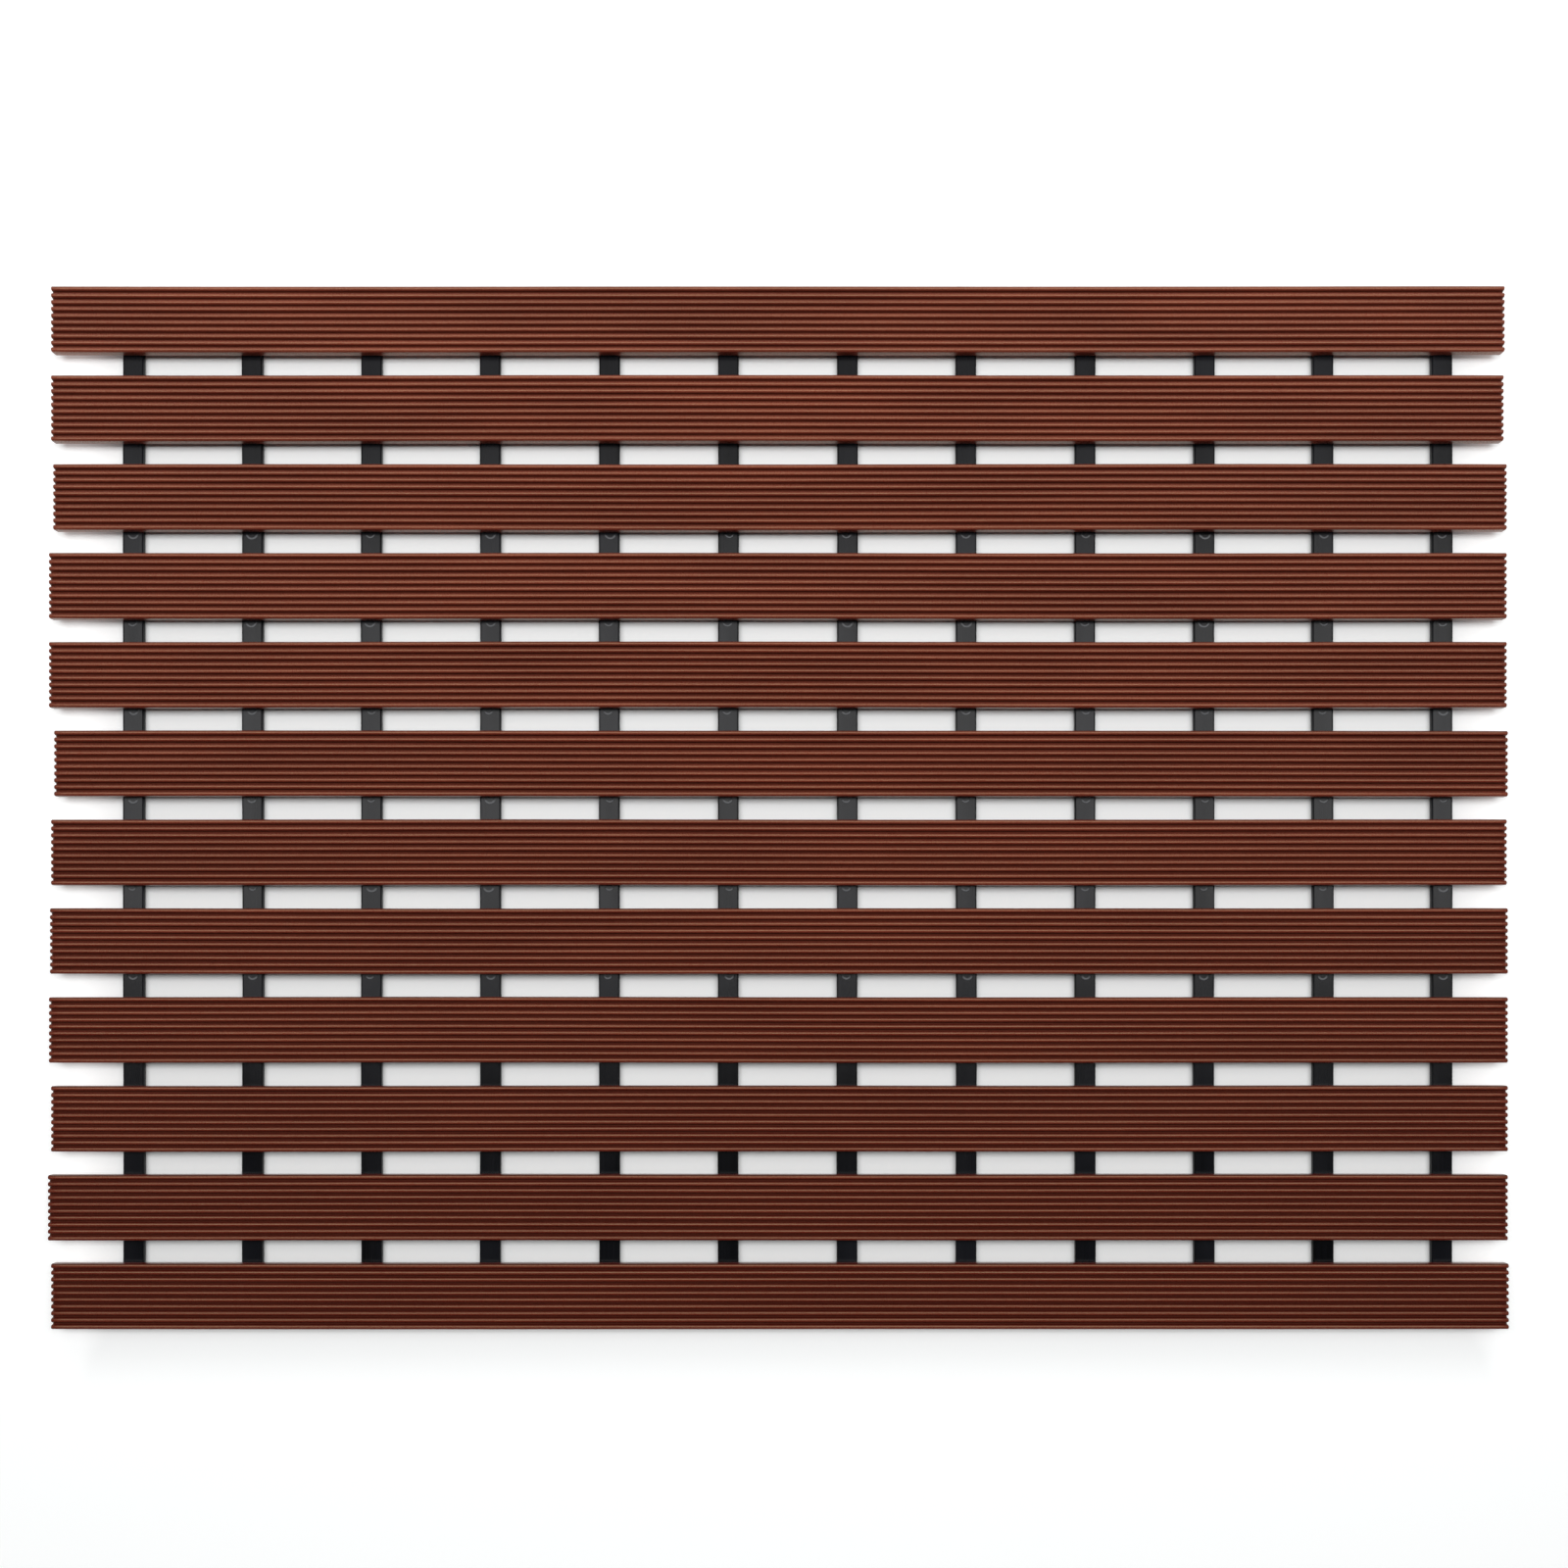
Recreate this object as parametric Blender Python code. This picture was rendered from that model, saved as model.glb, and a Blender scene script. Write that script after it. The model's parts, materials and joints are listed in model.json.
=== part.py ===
"""A roll-up duckboard bath mat, in metres, +Z up.

Ribbed slats of extruded PVC lie side by side across soft PVC straps that are welded under them. The straps
are the mat's hinges: they bend in each gap between two slats, so that the mat rolls up row by row. Each row
is one slat with the stretches of strap under it, and turns against the next row about the gap's middle.

The slats run along X. Row 1 is the row at +Y. The origin is on the floor, under the middle of the mat.
"""

import math

import bmesh
import bpy

# Sizes of the whole mat.
MAT_LENGTH = 0.700
MAT_WIDTH = 0.500
SLAT_COUNT = 12
STRAP_COUNT = 12

# A slat: a solid extrusion, flat below and ribbed along its top.
SLAT_WIDTH = 0.0315
SLAT_HEIGHT = 0.0050
SLAT_LOWER_EDGE = 0.0008
RIB_COUNT = 10
RIB_RADIUS = 0.00115
GROOVE_DEPTH = 0.0019
ARC_STEP = 45.0

# How far each slat's saw cut falls short of the mat's two ends, row by row.
MM = 0.001
LEFT_CUTS = [cut * MM for cut in (1.5, 1.5, 2.5, 0.5, 0.5, 3.0, 1.5, 1.0, 0.5, 1.5, 0.0, 1.5)]
RIGHT_CUTS = [cut * MM for cut in (2.0, 2.5, 1.0, 1.0, 1.0, 0.5, 1.0, 0.5, 0.5, 0.5, 0.5, 0.0)]

# A strap: a flat soft strip. The slats pass the outer straps by a different amount on the left and right.
STRAP_WIDTH = 0.010
STRAP_THICKNESS = 0.0035
LEFT_OVERHANG = 0.03325
RIGHT_OVERHANG = 0.02425
STRAP_END_INSET = 0.0015

# The strip that holds one row's strap stretches together. It lies hidden under the slat.
TIE_WIDTH = 0.004
TIE_THICKNESS = 0.0008
TIE_DEPTH = 0.0008

# Clearances: under a slat, and between two rows' straps where they meet on a bend's axis.
WELD_GAP = 0.0003
BEND_GAP = 0.0003
BEND_CLEARANCE = math.radians(3)

# Every gap bends as far as closes the rows into a ring.
BEND_LIMIT = math.radians(360 / SLAT_COUNT)
ROOT_ROW = 6

slat_pitch = (MAT_WIDTH - SLAT_WIDTH) / (SLAT_COUNT - 1)
slat_bottom = STRAP_THICKNESS + WELD_GAP
slat_top = slat_bottom + SLAT_HEIGHT
rib_pitch = (SLAT_WIDTH - 2 * RIB_RADIUS) / (RIB_COUNT - 1)
groove_radius = rib_pitch / 2 - RIB_RADIUS
strap_span = MAT_LENGTH - LEFT_OVERHANG - RIGHT_OVERHANG - STRAP_WIDTH
strap_pitch = strap_span / (STRAP_COUNT - 1)
first_strap_x = -MAT_LENGTH / 2 + LEFT_OVERHANG + STRAP_WIDTH / 2
bend_height = STRAP_THICKNESS / 2


def slat_y(row):
    """The middle of a row's slat."""
    return (MAT_WIDTH - SLAT_WIDTH) / 2 - (row - 1) * slat_pitch


def frame_y(row):
    """The bend's axis that a row turns about, on its side towards the root row."""
    if row == ROOT_ROW:
        return 0.0
    toward_root = -1 if row < ROOT_ROW else 1
    return slat_y(row) + toward_root * slat_pitch / 2


def plastic(name, color, roughness):
    material = bpy.data.materials.new(name)
    material.use_nodes = True
    shader = material.node_tree.nodes["Principled BSDF"]
    shader.inputs["Base Color"].default_value = (*color, 1)
    shader.inputs["Roughness"].default_value = roughness
    shader.inputs["Metallic"].default_value = 0
    return material


def new_object(name, shape, material=None):
    mesh = bpy.data.meshes.new(name)
    bmesh.ops.recalc_face_normals(shape, faces=shape.faces)
    shape.to_mesh(mesh)
    shape.free()
    mesh.shade_smooth()
    mesh.set_sharp_from_angle(angle=math.radians(50))
    if material:
        mesh.materials.append(material)
    new = bpy.data.objects.new(name, mesh)
    bpy.context.collection.objects.link(new)
    return new


def extrude_outline(shape, outline, depth):
    """Adds a prism: a flat outline of points, drawn out along X by depth."""
    face = shape.faces.new([shape.verts.new(point) for point in outline])
    drawn = bmesh.ops.extrude_face_region(shape, geom=[face])["geom"]
    ends = [item for item in drawn if isinstance(item, bmesh.types.BMVert)]
    bmesh.ops.translate(shape, verts=ends, vec=(depth, 0, 0))


def arc(y, z, radius, start, end):
    """Points (y, z) along an arc. The angles are in degrees, from +Y towards +Z."""
    steps = round(abs(end - start) / ARC_STEP)
    angles = [math.radians(start + (end - start) * step / steps) for step in range(steps + 1)]
    return [(y + radius * math.cos(angle), z + radius * math.sin(angle)) for angle in angles]


def slat_section():
    """A slat's outline (y, z) around y = 0: the flat underside, then the ribs from +Y to -Y."""
    corner_y = SLAT_WIDTH / 2 - SLAT_LOWER_EDGE
    corner_z = slat_bottom + SLAT_LOWER_EDGE
    outline = arc(-corner_y, corner_z, SLAT_LOWER_EDGE, 180, 270)
    outline += arc(corner_y, corner_z, SLAT_LOWER_EDGE, 270, 360)
    rib_y = SLAT_WIDTH / 2 - RIB_RADIUS
    for rib in range(RIB_COUNT):
        outline += arc(rib_y, slat_top - RIB_RADIUS, RIB_RADIUS, 0, 180)
        if rib < RIB_COUNT - 1:
            groove_z = slat_top - GROOVE_DEPTH + groove_radius
            outline += arc(rib_y - rib_pitch / 2, groove_z, groove_radius, 360, 180)
        rib_y -= rib_pitch
    return outline


def make_slat(row, material):
    """One slat, cut to its own length, around y = 0."""
    left = -MAT_LENGTH / 2 + LEFT_CUTS[row - 1]
    right = MAT_LENGTH / 2 - RIGHT_CUTS[row - 1]
    shape = bmesh.new()
    extrude_outline(shape, [(left, y, z) for y, z in slat_section()], right - left)
    return new_object(f"slat_{row:02d}", shape, material)


def stretch_end(side, outer):
    """The end of a strap stretch as outline points (y, z), from low to high, on the +Y or -Y side.

    At a bend it is a wedge with its point by the axis, which leaves the next row room to turn. At the mat's
    outer edge it is the strap's own square end.
    """
    if outer:
        end_y = SLAT_WIDTH / 2 - STRAP_END_INSET
        return [(side * end_y, 0), (side * end_y, STRAP_THICKNESS)]
    point_y = slat_pitch / 2 - BEND_GAP / 2
    slope = bend_height * math.tan(BEND_LIMIT / 2 + BEND_CLEARANCE)
    return [(side * (point_y - slope), 0), (side * point_y, bend_height),
            (side * (point_y - slope), STRAP_THICKNESS)]


def make_strap_row(row, material):
    """The strap stretches under one slat, around y = 0, held together by the hidden tie."""
    outline = stretch_end(1, row == 1) + stretch_end(-1, row == SLAT_COUNT)[::-1]
    shape = bmesh.new()
    for strap in range(STRAP_COUNT):
        left = first_strap_x + strap * strap_pitch - STRAP_WIDTH / 2
        extrude_outline(shape, [(left, y, z) for y, z in outline], STRAP_WIDTH)
    straps = new_object(f"strap_row_{row:02d}", shape, material)

    top = STRAP_THICKNESS - TIE_DEPTH
    tie_outline = [(-TIE_WIDTH / 2, top - TIE_THICKNESS), (TIE_WIDTH / 2, top - TIE_THICKNESS),
                   (TIE_WIDTH / 2, top), (-TIE_WIDTH / 2, top)]
    shape = bmesh.new()
    extrude_outline(shape, [(first_strap_x, y, z) for y, z in tie_outline], strap_span)
    tie = new_object(f"tie_{row:02d}", shape)
    tie.hide_render = True
    tie.display_type = "WIRE"
    tie.parent = straps

    union = straps.modifiers.new("tie", "BOOLEAN")
    union.operation = "UNION"
    union.object = tie
    return straps


def make_frames():
    """One empty for each row, on the axis it turns about, parented row to row outwards from the root."""
    frames = {}
    for row in range(1, SLAT_COUNT + 1):
        frames[row] = bpy.data.objects.new(f"row_{row:02d}_axis", None)
        bpy.context.collection.objects.link(frames[row])
    for row, frame in frames.items():
        if row == ROOT_ROW:
            continue
        parent_row = row + 1 if row < ROOT_ROW else row - 1
        frame.parent = frames[parent_row]
        parent_height = 0 if parent_row == ROOT_ROW else bend_height
        frame.location = (0, frame_y(row) - frame_y(parent_row), bend_height - parent_height)
    return frames


def build():
    for old in list(bpy.data.objects):
        bpy.data.objects.remove(old)
    slat_pvc = plastic("slat_pvc", (0.109, 0.030, 0.017), 0.42)
    strap_pvc = plastic("strap_pvc", (0.022, 0.022, 0.026), 0.35)
    for row, frame in make_frames().items():
        height = 0 if row == ROOT_ROW else bend_height
        for piece in (make_slat(row, slat_pvc), make_strap_row(row, strap_pvc)):
            piece.parent = frame
            piece.location = (0, slat_y(row) - frame_y(row), -height)


build()
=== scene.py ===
"""The looks of a roll-up duckboard bath mat: ribbed PVC slats on soft PVC straps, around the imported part."""

import json
import math

import bmesh
import bpy
import numpy as np
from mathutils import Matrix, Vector

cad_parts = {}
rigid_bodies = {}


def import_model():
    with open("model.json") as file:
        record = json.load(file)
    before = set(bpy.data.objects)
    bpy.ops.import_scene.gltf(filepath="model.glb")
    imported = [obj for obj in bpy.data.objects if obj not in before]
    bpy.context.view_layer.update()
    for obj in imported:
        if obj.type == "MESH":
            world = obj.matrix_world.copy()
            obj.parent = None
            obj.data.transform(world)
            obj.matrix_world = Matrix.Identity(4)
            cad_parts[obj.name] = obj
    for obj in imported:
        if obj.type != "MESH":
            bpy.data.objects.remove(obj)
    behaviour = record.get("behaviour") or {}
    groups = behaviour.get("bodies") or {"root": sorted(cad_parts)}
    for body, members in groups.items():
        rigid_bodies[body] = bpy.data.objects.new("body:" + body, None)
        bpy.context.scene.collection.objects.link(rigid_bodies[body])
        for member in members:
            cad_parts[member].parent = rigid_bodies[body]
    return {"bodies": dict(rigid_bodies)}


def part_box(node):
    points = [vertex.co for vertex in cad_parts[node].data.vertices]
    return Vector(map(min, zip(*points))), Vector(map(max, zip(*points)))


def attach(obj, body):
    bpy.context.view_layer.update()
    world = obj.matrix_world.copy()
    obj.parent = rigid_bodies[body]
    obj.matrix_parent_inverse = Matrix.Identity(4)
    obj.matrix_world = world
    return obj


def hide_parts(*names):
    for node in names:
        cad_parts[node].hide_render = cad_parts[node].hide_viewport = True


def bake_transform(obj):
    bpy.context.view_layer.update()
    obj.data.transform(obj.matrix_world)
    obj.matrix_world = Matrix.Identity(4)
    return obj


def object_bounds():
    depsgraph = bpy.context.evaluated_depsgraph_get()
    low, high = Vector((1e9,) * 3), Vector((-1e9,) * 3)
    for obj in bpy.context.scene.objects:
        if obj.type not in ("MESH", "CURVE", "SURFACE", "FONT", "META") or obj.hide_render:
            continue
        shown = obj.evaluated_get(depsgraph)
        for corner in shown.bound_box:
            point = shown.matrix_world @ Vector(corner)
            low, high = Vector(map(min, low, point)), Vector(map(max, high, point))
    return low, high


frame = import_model()
cad_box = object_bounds()
row_names = sorted(frame["bodies"])
MM = 0.001


# ---- The slats ----------------------------------------------------------------------------------
# Each slat is a solid PVC extrusion, flat below and ribbed on top, cut to length with a saw. It is
# drawn as one outline, drawn out along the slat, and given the small wander of a soft extrusion.

RIB_COUNT = 10
RIB_RADIUS = 1.15 * MM
GROOVE_DEPTH = 1.9 * MM
LOWER_EDGE = 0.8 * MM
RIB_STEPS = 10
GROOVE_STEPS = 6
CORNER_STEPS = 4
SLAT_STEPS = 150
SAW_ROUNDING = 0.45 * MM

# How much painted shade and how dull the plastic is at shares of the way from one rib's crest to the next.
# The painted shade lies on the flank facing away from the light and in the groove.
GROOVE_SHADE = ((0, 0.16, 0.32, 0.60, 0.82, 1), (0, 0, 1, 1, 0.4, 0))
GROOVE_DULLNESS = ((0, 0.25, 0.40, 0.60, 0.70, 1), (0, 0, 1, 1, 0, 0))
GROOVE_MARGIN = 0.05 * MM
# Painted shade on the first rib's outer flank, as shares of the rib's radius out from its crest, and how far
# down it goes.
FLANK_SHADE = ((0.25, 0.7), (0, 1))
FLANK_DROP = 0.5 * MM

# The wander of each rib, the bow of the whole slat, and the room left under the highest allowed point.
RIB_SIDEWAYS = 0.016 * MM
RIB_UPWARDS = 0.012 * MM
SLAT_BOW = 0.10 * MM
CREST_ROOM = 0.03 * MM


def last_vert(drawn):
    return next(item for item in drawn if isinstance(item, bmesh.types.BMVert))


def draw_arc(shape, vert, y, z, turn, steps):
    """Draws an outline on from a vertex, turning about (y, z) from +Y towards +Z, to its new last vertex."""
    drawn = bmesh.ops.spin(shape, geom=[vert], cent=(vert.co.x, y, z), axis=(1, 0, 0), dvec=(0, 0, 0),
                           angle=math.radians(turn), steps=steps)
    return last_vert(drawn["geom_last"])


def draw_line(shape, vert, y, z):
    """Draws an outline straight on from a vertex to (y, z)."""
    drawn = bmesh.ops.extrude_vert_indiv(shape, verts=[vert])
    drawn["verts"][0].co = (vert.co.x, y, z)
    return drawn["verts"][0]


def slat_shape(low, high):
    """A plain slat between two corners of its box: outline, extrusion, softened saw cuts."""
    shape = bmesh.new()
    rib_pitch = (high.y - low.y - 2 * RIB_RADIUS) / (RIB_COUNT - 1)
    groove_radius = rib_pitch / 2 - RIB_RADIUS
    crest_z = high.z - RIB_RADIUS
    groove_z = high.z - GROOVE_DEPTH + groove_radius

    first = shape.verts.new((low.x, high.y, crest_z))
    vert = first
    for rib in range(RIB_COUNT):
        rib_y = high.y - RIB_RADIUS - rib * rib_pitch
        vert = draw_arc(shape, vert, rib_y, crest_z, 180, RIB_STEPS)
        if rib < RIB_COUNT - 1:
            vert = draw_line(shape, vert, vert.co.y, groove_z)
            vert = draw_arc(shape, vert, rib_y - rib_pitch / 2, groove_z, -180, GROOVE_STEPS)
            vert = draw_line(shape, vert, vert.co.y, crest_z)
    vert = draw_line(shape, vert, low.y, low.z + LOWER_EDGE)
    vert = draw_arc(shape, vert, low.y + LOWER_EDGE, low.z + LOWER_EDGE, 90, CORNER_STEPS)
    vert = draw_line(shape, vert, high.y - LOWER_EDGE, low.z)
    vert = draw_arc(shape, vert, high.y - LOWER_EDGE, low.z + LOWER_EDGE, 90, CORNER_STEPS)
    shape.edges.new((vert, first))

    section = bmesh.ops.contextual_create(shape, geom=shape.edges[:])["faces"]
    drawn = bmesh.ops.extrude_face_region(shape, geom=section)["geom"]
    far_end = [item for item in drawn if isinstance(item, bmesh.types.BMVert)]
    bmesh.ops.translate(shape, verts=far_end, vec=(high.x - low.x, 0, 0))
    bmesh.ops.recalc_face_normals(shape, faces=shape.faces[:])
    rims = [edge for face in shape.faces if abs(face.normal.x) > 0.9 for edge in face.edges]
    bmesh.ops.bevel(shape, geom=rims, affect="EDGES", offset=SAW_ROUNDING, segments=3, profile=0.5,
                    material=-1, clamp_overlap=False)
    along = [edge for edge in shape.edges if edge.calc_length() > (high.x - low.x) / 2]
    bmesh.ops.subdivide_edges(shape, edges=along, cuts=SLAT_STEPS, use_grid_fill=True)
    return shape


def new_piece(name, shape, material):
    """Makes an object of a finished shape, smooth but for its sharp edges."""
    mesh = bpy.data.meshes.new(name)
    shape.to_mesh(mesh)
    shape.free()
    mesh.shade_smooth()
    mesh.set_sharp_from_angle(angle=math.radians(50))
    mesh.materials.append(material)
    piece = bpy.data.objects.new(name, mesh)
    bpy.context.scene.collection.objects.link(piece)
    return piece


def wave(x, rng, size, lengths):
    """A slow random wave along x: one sine for each length, together about size high."""
    return sum(size / len(lengths) ** 0.5 * math.sqrt(2) * rng.uniform(0.4, 1)
               * np.sin(2 * math.pi * (x / length + rng.random())) for length in lengths)


def read_points(mesh):
    points = np.empty(len(mesh.vertices) * 3, np.float32)
    mesh.vertices.foreach_get("co", points)
    return points.reshape(-1, 3)


def write_points(mesh, points):
    mesh.vertices.foreach_set("co", points.ravel())
    mesh.update()


def write_attribute(mesh, name, values):
    mesh.attributes.new(name, "FLOAT", "POINT").data.foreach_set("value", values.astype(np.float32))


def mark_slat(mesh, low, high):
    """Writes how far each point is sawn, its painted shade in the grooves and on the first rib's outer flank,
    and how dull it is as a part of a groove.
    """
    x, y, z = read_points(mesh).T.astype(float)
    from_end = np.minimum(x - low.x, high.x - x)
    write_attribute(mesh, "sawn", np.interp(from_end, (0, SAW_ROUNDING * 0.7), (1, 0)))
    rib_pitch = (high.y - low.y - 2 * RIB_RADIUS) / (RIB_COUNT - 1)
    rib = (high.y - RIB_RADIUS - y) / rib_pitch
    between = (rib > 0) & (rib < RIB_COUNT - 1) & (z > high.z - GROOVE_DEPTH - GROOVE_MARGIN)
    shade = between * np.interp(rib % 1, *GROOVE_SHADE)
    out_from_crest = -rib * rib_pitch / RIB_RADIUS
    flank = (z > high.z - RIB_RADIUS - FLANK_DROP) * np.interp(out_from_crest, *FLANK_SHADE)
    write_attribute(mesh, "groove", shade + flank)
    write_attribute(mesh, "dull", between * np.interp(rib % 1, *GROOVE_DULLNESS))


def wander(mesh, low, high, seed):
    """Moves each rib a little sideways and up and down along its length, as a soft extrusion does."""
    rng = np.random.default_rng(seed)
    points = read_points(mesh)
    x, y, z = points.T.astype(float)
    share_up = np.clip((z - low.z) / (high.z - low.z), 0, 1)
    rib_pitch = (high.y - low.y - 2 * RIB_RADIUS) / (RIB_COUNT - 1)
    rib = np.clip((high.y - RIB_RADIUS - y) / rib_pitch, 0, RIB_COUNT - 1)
    sideways, upwards = np.zeros_like(x), np.zeros_like(x)
    for number in range(RIB_COUNT):
        near = np.clip(1 - abs(rib - number), 0, 1)
        sideways += near * wave(x, rng, RIB_SIDEWAYS, (0.31, 0.13, 0.047))
        upwards += near * wave(x, rng, RIB_UPWARDS, (0.23, 0.09, 0.031))
    points[:, 1] += share_up * sideways + wave(x, rng, SLAT_BOW, (0.9, 0.4))
    points[:, 2] += share_up ** 2 * (upwards - CREST_ROOM)
    write_points(mesh, points)


def add_node(tree, kind, **settings):
    """Adds a shader node. A setting named as a socket (spaces as _) sets it, and the rest are properties."""
    node = tree.nodes.new(kind)
    for name, value in settings.items():
        socket = node.inputs.get(name.replace("_", " "))
        if isinstance(value, bpy.types.NodeSocket):
            tree.links.new(value, socket)
        elif socket is not None:
            socket.default_value = value
        else:
            setattr(node, name, value)
    return node


def new_material(name, **shader_settings):
    """A material with its Principled shader."""
    material = bpy.data.materials.new(name)
    material.use_nodes = True
    shader = material.node_tree.nodes["Principled BSDF"]
    for setting, value in shader_settings.items():
        shader.inputs[setting.replace("_", " ")].default_value = value
    return material, material.node_tree, shader


def mix_colors(tree, share, low, high):
    """Two colours mixed by share, each a colour or a socket."""
    mix = add_node(tree, "ShaderNodeMix", data_type="RGBA", clamp_factor=True)
    for socket, value in ((mix.inputs[0], share), (mix.inputs[6], low), (mix.inputs[7], high)):
        if isinstance(value, bpy.types.NodeSocket):
            tree.links.new(value, socket)
        else:
            socket.default_value = (*value, 1) if isinstance(value, tuple) else value
    return mix.outputs[2]


def ramp_share(tree, value, low, high, to_low=0.0, to_high=1.0):
    """Maps a value from low..high to to_low..to_high, held at both ends."""
    node = add_node(tree, "ShaderNodeMapRange", clamp=True)
    for number, setting in enumerate((value, low, high, to_low, to_high)):
        if isinstance(setting, bpy.types.NodeSocket):
            tree.links.new(setting, node.inputs[number])
        else:
            node.inputs[number].default_value = setting
    return node.outputs[0]


def noise_along(tree, place, scale, detail):
    """A noise pattern whose grain is scaled differently along X, Y and Z."""
    stretched = add_node(tree, "ShaderNodeMapping", Vector=place, Scale=scale)
    noise = add_node(tree, "ShaderNodeTexNoise", Vector=stretched.outputs[0], Scale=1.0, Detail=detail)
    return noise.outputs[0]


def math_node(tree, operation, first, second):
    """The result of a sum, a maximum and so on of two sockets."""
    node = add_node(tree, "ShaderNodeMath", operation=operation)
    tree.links.new(first, node.inputs[0])
    tree.links.new(second, node.inputs[1])
    return node.outputs[0]


def add_relief(tree, shader, die_lines, grain, strength):
    """Gives a material the fine relief of its die lines and grain."""
    relief = math_node(tree, "ADD", die_lines, grain)
    bump = add_node(tree, "ShaderNodeBump", Height=relief, Strength=strength, Distance=0.00005)
    tree.links.new(bump.outputs[0], shader.inputs["Normal"])


def slat_material():
    """Satin brown PVC with die lines, painted shade towards the last rows and in the grooves, and sawn ends
    paled partly by a painted highlight.
    """
    material, tree, shader = new_material("slat_pvc", Specular_IOR_Level=0.58,
                                          Specular_Tint=(1, 0.90, 0.56, 1))
    place = add_node(tree, "ShaderNodeTexCoord").outputs["Object"]
    across = add_node(tree, "ShaderNodeSeparateXYZ", Vector=place).outputs[1]
    groove = add_node(tree, "ShaderNodeAttribute", attribute_name="groove").outputs["Fac"]
    dull = add_node(tree, "ShaderNodeAttribute", attribute_name="dull").outputs["Fac"]
    sawn = add_node(tree, "ShaderNodeAttribute", attribute_name="sawn").outputs["Fac"]
    clouds = noise_along(tree, place, (9, 60, 60), 3)
    die_lines = noise_along(tree, place, (5, 2600, 2600), 2)
    grain = noise_along(tree, place, (1700, 2600, 2600), 2)

    cloudy = ramp_share(tree, clouds, 0.35, 0.65)
    body = mix_colors(tree, cloudy, (0.175, 0.031, 0.018), (0.240, 0.046, 0.026))
    body = mix_colors(tree, ramp_share(tree, die_lines, 0.35, 0.70, 0, 0.12), body, (0.125, 0.014, 0.004))
    # Painted shade: the slats darken towards the last rows, standing in for the light falling off there.
    last_y, first_y = cad_box[0].y, cad_box[1].y
    body = mix_colors(tree, ramp_share(tree, across, last_y, first_y, 0.62, 0), body, (0.094, 0.003, 0.0003))
    # Painted shade in the grooves and on the flanks facing away from the light, deepest in the last rows.
    painted_groove_shade = ramp_share(tree, groove, 0, 1, 0, ramp_share(tree, across, last_y, first_y, 1.0, 0.60))
    body = mix_colors(tree, painted_groove_shade, body, (0.058, 0.0004, 0.0001))
    # Paler sawn ends with saw-mark streaks: the marks are the cut's own, the paleness is partly a painted
    # highlight where the rounded cut rims catch the light.
    saw_marks = noise_along(tree, place, (500, 4000, 300), 3)
    cut = mix_colors(tree, ramp_share(tree, saw_marks, 0.35, 0.65), (0.14, 0.060, 0.040), (0.30, 0.17, 0.13))
    body = mix_colors(tree, sawn, body, cut)
    tree.links.new(body, shader.inputs["Base Color"])

    satin = ramp_share(tree, grain, 0.3, 0.7, 0.24, 0.32)
    roughness = math_node(tree, "MAXIMUM", satin, ramp_share(tree, dull, 0, 1, 0, 0.9))
    tree.links.new(roughness, shader.inputs["Roughness"])
    add_relief(tree, shader, die_lines, grain, 0.10)
    return material


slat_pvc = slat_material()
for number, row in enumerate(row_names, 1):
    low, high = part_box(f"slat_{number:02d}")
    slat = new_piece(f"ribbed_slat_{number:02d}", slat_shape(low, high), slat_pvc)
    mark_slat(slat.data, low, high)
    wander(slat.data, low, high, number)
    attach(slat, row)
    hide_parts(f"slat_{number:02d}")


# ---- The straps ---------------------------------------------------------------------------------
# Twelve flat strips of soft black PVC run under all the slats. They are made gap by gap: each mesh
# holds every strap from the middle of one slat to the middle of the next, in finer steps across the gap.

STRAP_COUNT = 12
STRAP_WIDTH = 10.0 * MM
STRAP_ROUNDING = 1.0 * MM
STRAP_FACE_STEPS = 8
STRAP_SWAY = 0.12 * MM
STRAP_SEED = 100
STEPS_UNDER_SLAT = 5
STEPS_IN_GAP = 20

strap_low, strap_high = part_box("strap_row_06")
strap_pitch = (strap_high.x - strap_low.x - STRAP_WIDTH) / (STRAP_COUNT - 1)
strap_middles = [strap_low.x + STRAP_WIDTH / 2 + strap * strap_pitch for strap in range(STRAP_COUNT)]


def strap_shapes(start_y, stops):
    """Every strap as a rounded strip drawn out along Y from start_y, through stops of (y, steps to it)."""
    shape = bmesh.new()
    for middle in strap_middles:
        corners = [(middle - STRAP_WIDTH / 2, strap_low.z), (middle + STRAP_WIDTH / 2, strap_low.z),
                   (middle + STRAP_WIDTH / 2, strap_high.z), (middle - STRAP_WIDTH / 2, strap_high.z)]
        shape.faces.new([shape.verts.new((x, start_y, z)) for x, z in corners])
    bmesh.ops.bevel(shape, geom=shape.verts[:], affect="VERTICES", offset=STRAP_ROUNDING, segments=5,
                    profile=0.5, material=-1)
    flats = [edge for edge in shape.edges if edge.calc_length() > STRAP_WIDTH / 2]
    bmesh.ops.subdivide_edges(shape, edges=flats, cuts=STRAP_FACE_STEPS)
    faces, y = shape.faces[:], start_y
    for stop, steps in stops:
        for _ in range(steps):
            drawn = bmesh.ops.extrude_face_region(shape, geom=faces)["geom"]
            faces = [item for item in drawn if isinstance(item, bmesh.types.BMFace)]
            moved = [item for item in drawn if isinstance(item, bmesh.types.BMVert)]
            bmesh.ops.translate(shape, verts=moved, vec=(0, (stop - y) / steps, 0))
        y = stop
    bmesh.ops.recalc_face_normals(shape, faces=shape.faces[:])
    return shape


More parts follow.
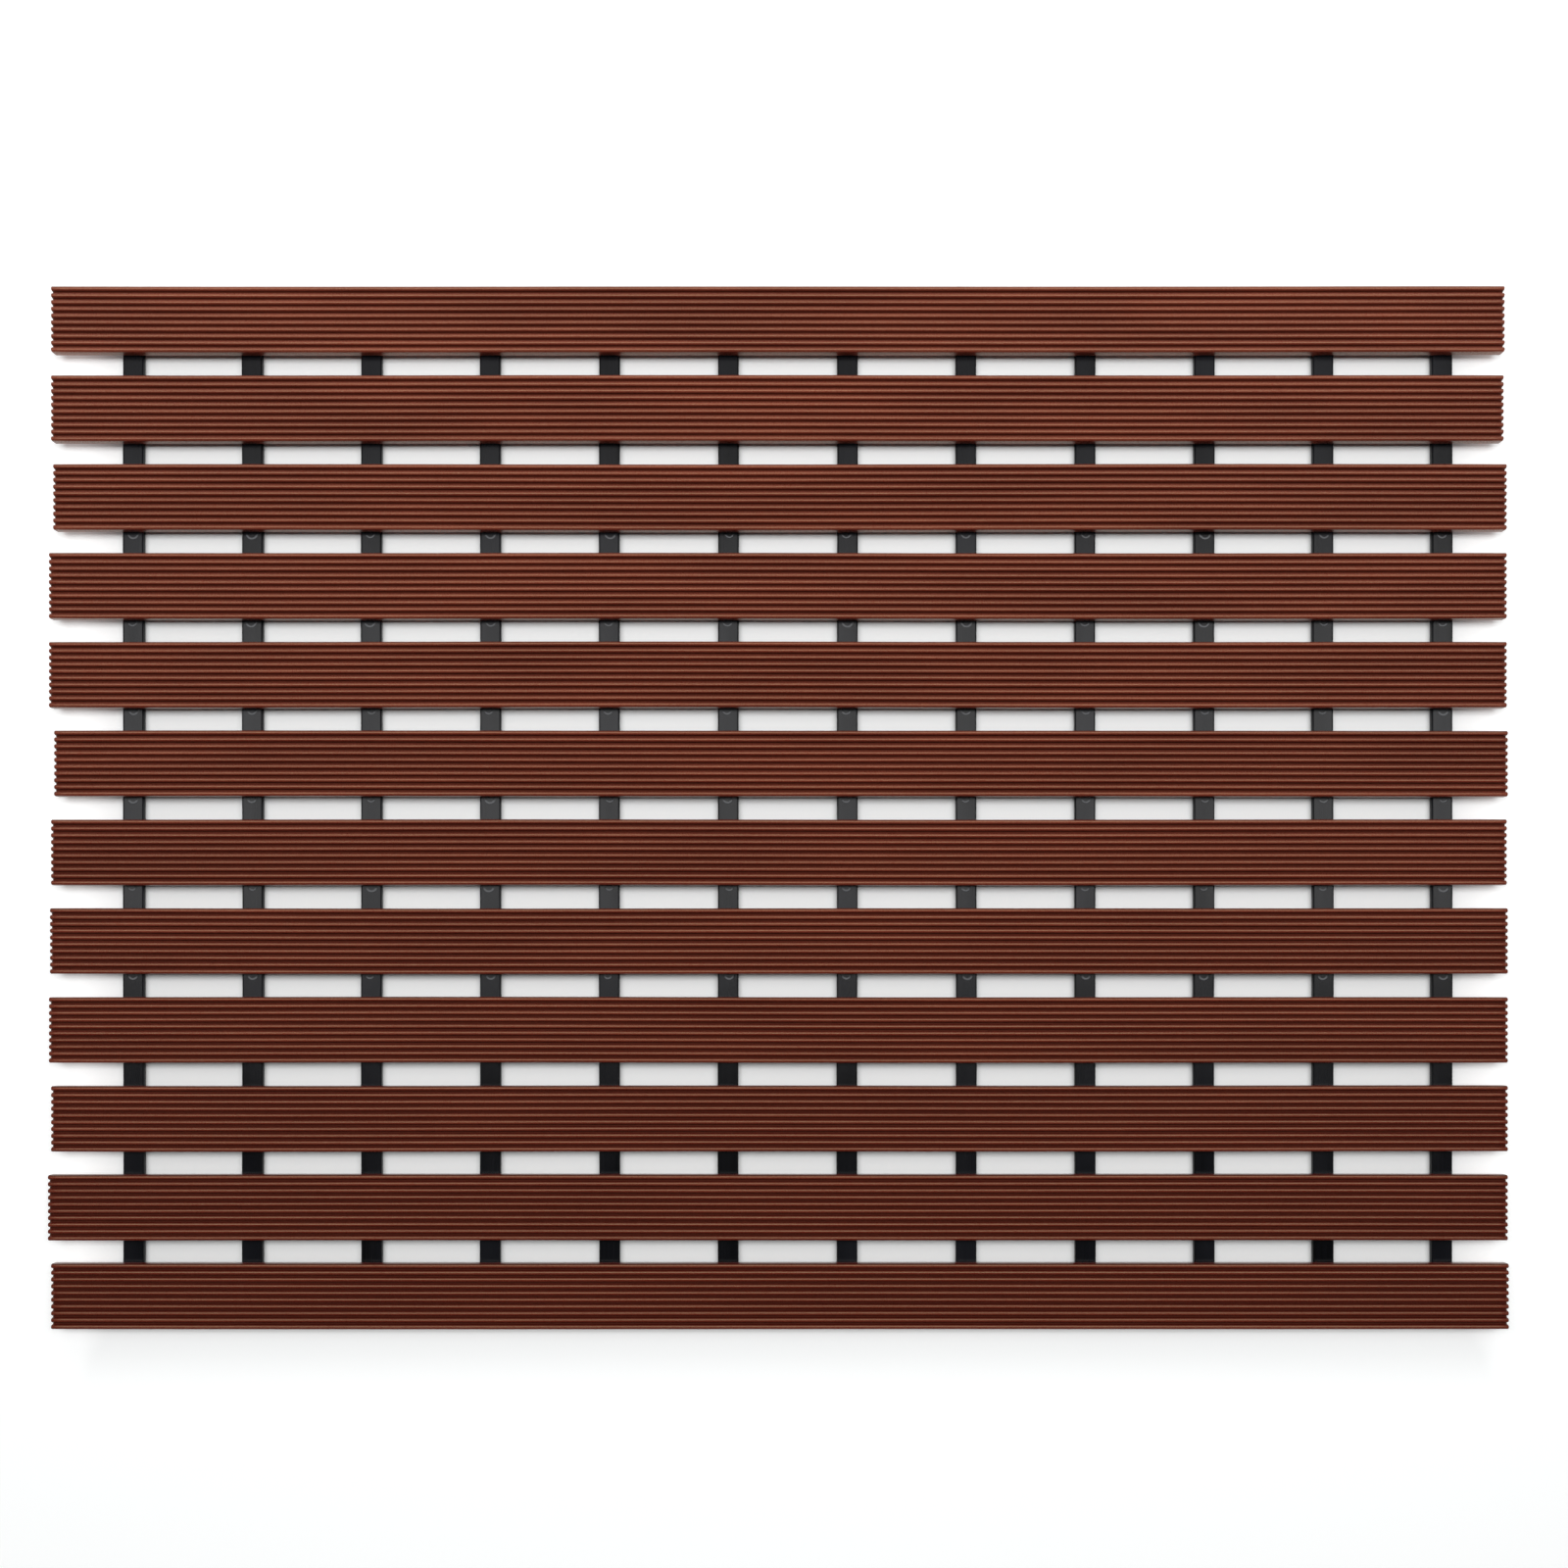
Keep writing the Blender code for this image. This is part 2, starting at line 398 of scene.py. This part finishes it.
def sway(mesh):
    """Lets each strap run slightly off straight, the same way in every mesh that it passes through."""
    points = read_points(mesh)
    strap = np.rint((points[:, 0] - strap_middles[0]) / strap_pitch).astype(int)
    for number in range(STRAP_COUNT):
        y = points[strap == number, 1].astype(float)
        rng = np.random.default_rng(STRAP_SEED + number)
        points[strap == number, 0] += wave(y, rng, STRAP_SWAY, (0.55, 0.21))
    write_points(mesh, points)


def strap_material():
    """Satin black soft PVC with faint dust and fine lines along the strap, and a grey painted highlight on the
    weld lips' rims.
    """
    material, tree, shader = new_material("strap_pvc", Specular_IOR_Level=0.175)
    place = add_node(tree, "ShaderNodeTexCoord").outputs["Object"]
    clouds = noise_along(tree, place, (90, 14, 90), 3)
    dust = noise_along(tree, place, (23, 12, 23), 1)
    die_lines = noise_along(tree, place, (2200, 8, 2200), 2)
    grain = noise_along(tree, place, (2400, 2400, 2400), 2)
    dusty = ramp_share(tree, dust, 0.35, 0.65)
    body = mix_colors(tree, dusty, (0.0004, 0.0005, 0.0009), (0.0080, 0.0085, 0.0110))
    body = mix_colors(tree, ramp_share(tree, die_lines, 0.4, 0.7, 0, 0.5), body, (0.0060, 0.0060, 0.0085))
    # Painted highlight: the lips' rims are greyed for the light that their slopes catch.
    rim_highlight = add_node(tree, "ShaderNodeAttribute", attribute_name="rim_highlight").outputs["Fac"]
    body = mix_colors(tree, rim_highlight, body, (0.105, 0.108, 0.115))
    tree.links.new(body, shader.inputs["Base Color"])
    tree.links.new(ramp_share(tree, clouds, 0.3, 0.7, 0.20, 0.28), shader.inputs["Roughness"])
    add_relief(tree, shader, die_lines, grain, 0.3)
    return material


strap_pvc = strap_material()
slat_boxes = [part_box(f"slat_{number:02d}") for number in range(1, len(row_names) + 1)]
slat_middles = [(low.y + high.y) / 2 for low, high in slat_boxes]

for gap, (row, next_row) in enumerate(zip(row_names, row_names[1:])):
    gap_top, gap_bottom = slat_boxes[gap][0].y, slat_boxes[gap + 1][1].y
    shape = strap_shapes(slat_middles[gap], [(gap_top, STEPS_UNDER_SLAT), (gap_bottom, STEPS_IN_GAP),
                                             (slat_middles[gap + 1], STEPS_UNDER_SLAT)])
    straps = new_piece(f"straps_{gap + 1:02d}_{gap + 2:02d}", shape, strap_pvc)
    sway(straps.data)
    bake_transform(straps)
    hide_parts(f"strap_row_{gap + 1:02d}", f"strap_row_{gap + 2:02d}")

for number, end_y in ((1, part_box("strap_row_01")[1].y), (len(row_names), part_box("strap_row_12")[0].y)):
    shape = strap_shapes(slat_middles[number - 1], [(end_y, STEPS_UNDER_SLAT)])
    ends = new_piece(f"strap_ends_{number:02d}", shape, strap_pvc)
    sway(ends.data)
    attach(ends, row_names[number - 1])
    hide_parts(f"strap_row_{number:02d}")


# ---- The welds ----------------------------------------------------------------------------------
# The straps are hot-welded to the slats' undersides. The melt squeezed out along each strap shows as
# an uneven bead under the slat and, in the middle rows, as a small dished lip where the strap leaves it.

BEAD_REACH = 0.5 * MM
BEAD_DROP = 0.35 * MM
BEAD_SINK = 0.05 * MM
BEAD_STEPS = 26
BEAD_SEED = 200
LIP_LENGTH = 5.6 * MM
LIP_REACH = 3.0 * MM
LIP_SINK = 0.10 * MM
LIP_STEPS = 32
LIP_SEED = 300
# The gaps whose straps show a lip, counted from 0 between rows 1 and 2.
LIP_GAPS = range(2, 8)
# From a lip's edge inwards: how far in, as a share of its reach, and how far up, in millimetres.
LIP_RINGS = ((0, 0.10), (0.06, 0.06), (0.07, 0.01), (0.09, -0.01), (0.14, -0.055), (0.05, 0), (0.05, 0))
# The painted highlight on a lip's rim is where the lip stands this high over the strap, and it sets in this
# far from the slat.
RIM_HEIGHT = (0.02 * MM, 0.04 * MM)
RIM_CLEAR_OF_SLAT = (0.9 * MM, 1.5 * MM)


def weld_beads(number):
    """The weld between one slat and all the straps: thin pads with uneven edges."""
    rng = np.random.default_rng(BEAD_SEED + number)
    low, high = slat_boxes[number - 1]
    length = high.y - low.y - 2 * LOWER_EDGE
    shape = bmesh.new()
    for middle in strap_middles:
        made = bmesh.ops.create_grid(shape, x_segments=2, y_segments=BEAD_STEPS, size=0.5)["verts"]
        for vert in made:
            at_edge = abs(vert.co.x) > 0.4
            if at_edge:
                vert.co.x *= 1 + rng.uniform(0.2, 1) * 2 * BEAD_REACH / STRAP_WIDTH
        bmesh.ops.scale(shape, verts=made, vec=(STRAP_WIDTH, length, 1))
        bmesh.ops.translate(shape, verts=made, vec=(middle, (low.y + high.y) / 2, low.z + BEAD_SINK))
    drawn = bmesh.ops.extrude_face_region(shape, geom=shape.faces[:])["geom"]
    moved = [item for item in drawn if isinstance(item, bmesh.types.BMVert)]
    bmesh.ops.translate(shape, verts=moved, vec=(0, 0, -BEAD_DROP - BEAD_SINK))
    bmesh.ops.recalc_face_normals(shape, faces=shape.faces[:])
    return shape


def add_lip(shape, x, y, length, reach):
    """A shallow dish with a low soft rim, centred on the slat's edge so that half of it shows."""
    made = bmesh.ops.create_circle(shape, cap_ends=True, segments=LIP_STEPS, radius=1)["verts"]
    bmesh.ops.scale(shape, verts=made, vec=(length / 2, reach, 1))
    bmesh.ops.translate(shape, verts=made, vec=(x, y, strap_high.z - LIP_SINK))
    face = next(face for face in shape.faces if made[0] in face.verts)
    drawn = bmesh.ops.extrude_face_region(shape, geom=[face])["geom"]
    top = next(item for item in drawn if isinstance(item, bmesh.types.BMFace))
    for inset, rise in LIP_RINGS:
        if inset:
            bmesh.ops.inset_region(shape, faces=[top], thickness=inset * reach, use_even_offset=True)
        bmesh.ops.translate(shape, verts=top.verts[:], vec=(0, 0, rise * MM))


for number, row in enumerate(row_names, 1):
    beads = new_piece(f"weld_beads_{number:02d}", weld_beads(number), strap_pvc)
    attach(beads, row)

for gap in LIP_GAPS:
    row, next_row = row_names[gap:gap + 2]
    rng = np.random.default_rng(LIP_SEED + gap)
    gap_top, gap_bottom = slat_boxes[gap][0].y, slat_boxes[gap + 1][1].y
    shape = bmesh.new()
    for middle in strap_middles:
        size = rng.uniform(0.80, 1.1)
        add_lip(shape, middle + rng.uniform(-0.6, 0.6) * MM, gap_top, LIP_LENGTH * size, LIP_REACH * size)
    bmesh.ops.recalc_face_normals(shape, faces=shape.faces[:])
    lips = new_piece(f"weld_lips_{gap + 1:02d}_{gap + 2:02d}", shape, strap_pvc)
    # The rims of the lips, clear of the slat, get the painted highlight.
    _, y, z = read_points(lips.data).T.astype(float)
    rim = np.interp(z - strap_high.z, RIM_HEIGHT, (0, 1))
    write_attribute(lips.data, "rim_highlight", rim * np.interp(gap_top - y, RIM_CLEAR_OF_SLAT, (0, 1)))
    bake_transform(lips)


# ---- The room -----------------------------------------------------------------------------------
# A plain pale floor that glows a little beyond the mat. A wide softbox overhead, a dim tail to it beyond
# the first rows, and a low window further out light the mat. The camera looks straight down.

FLOOR_SIZE = 8.0
FLOOR_GLOW = 0.30
# Where the glow starts and is full, from half the width and half the length of the mat's straps and slats.
GLOW_EDGE_X = (-0.008, 0.022)
GLOW_EDGE_Y = (-0.030, 0.030)
HORIZON_LIGHT, UPPER_LIGHT = 0.27, 0.06

floor_shape = bmesh.new()
bmesh.ops.create_grid(floor_shape, x_segments=1, y_segments=1, size=FLOOR_SIZE / 2)
floor_paint, tree, shader = new_material("pale_floor", Base_Color=(0.865, 0.88, 0.88, 1), Roughness=0.7,
                                         Emission_Color=(1, 1, 1, 1))
place = add_node(tree, "ShaderNodeTexCoord").outputs["Object"]
centred = add_node(tree, "ShaderNodeVectorMath", operation="SUBTRACT")
tree.links.new(place, centred.inputs[0])
centred.inputs[1].default_value = ((strap_low.x + strap_high.x) / 2, 0, 0)
distance = add_node(tree, "ShaderNodeVectorMath", operation="ABSOLUTE", Vector=centred.outputs[0])
sides = add_node(tree, "ShaderNodeSeparateXYZ", Vector=distance.outputs[0])
half_width, half_length = (strap_high.x - strap_low.x) / 2, cad_box[1].y
beyond_x = ramp_share(tree, sides.outputs[0], *(half_width + edge for edge in GLOW_EDGE_X))
beyond_y = ramp_share(tree, sides.outputs[1], *(half_length + edge for edge in GLOW_EDGE_Y))
glow = ramp_share(tree, math_node(tree, "MAXIMUM", beyond_x, beyond_y), 0, 1, 0, FLOOR_GLOW)
tree.links.new(glow, shader.inputs["Emission Strength"])
floor = new_piece("floor", floor_shape, floor_paint)


def add_softbox(name, place, aim, size_x, size_y, watts):
    """Adds a rectangular lamp at a place, turned towards what it is aimed at."""
    lamp = bpy.data.lights.new(name, "AREA")
    lamp.shape = "RECTANGLE"
    lamp.size, lamp.size_y, lamp.energy = size_x, size_y, watts
    stand = bpy.data.objects.new(name, lamp)
    stand.location = place
    stand.rotation_euler = (Vector(aim) - Vector(place)).to_track_quat("-Z", "Y").to_euler()
    bpy.context.scene.collection.objects.link(stand)


add_softbox("overhead_softbox", (0, 0.26, 1.5), (0, 0.26, 0), 3.0, 0.68, 27.7)
add_softbox("softbox_tail", (0, 0.95, 1.5), (0, 0.95, 0), 3.0, 0.70, 6.7)
add_softbox("low_window", (0, 1.5, 0.62), (0, 0, 0), 3.0, 0.70, 7.6)

world = bpy.data.worlds.new("room")
world.use_nodes = True
direction = add_node(world.node_tree, "ShaderNodeTexCoord").outputs["Generated"]
upward = add_node(world.node_tree, "ShaderNodeSeparateXYZ", Vector=direction).outputs[2]
brightness = ramp_share(world.node_tree, upward, 0, 0.4, HORIZON_LIGHT, UPPER_LIGHT)
world.node_tree.links.new(brightness, world.node_tree.nodes["Background"].inputs["Color"])
bpy.context.scene.world = world
bpy.context.scene.view_settings.view_transform = "Standard"

lens = bpy.data.cameras.new("camera")
lens.lens, lens.sensor_width, lens.shift_y = 30.70, 36.0, 0.1243
camera = bpy.data.objects.new("camera", lens)
camera.location = (0.0027, -0.082, 0.649)
bpy.context.scene.collection.objects.link(camera)
bpy.context.scene.camera = camera
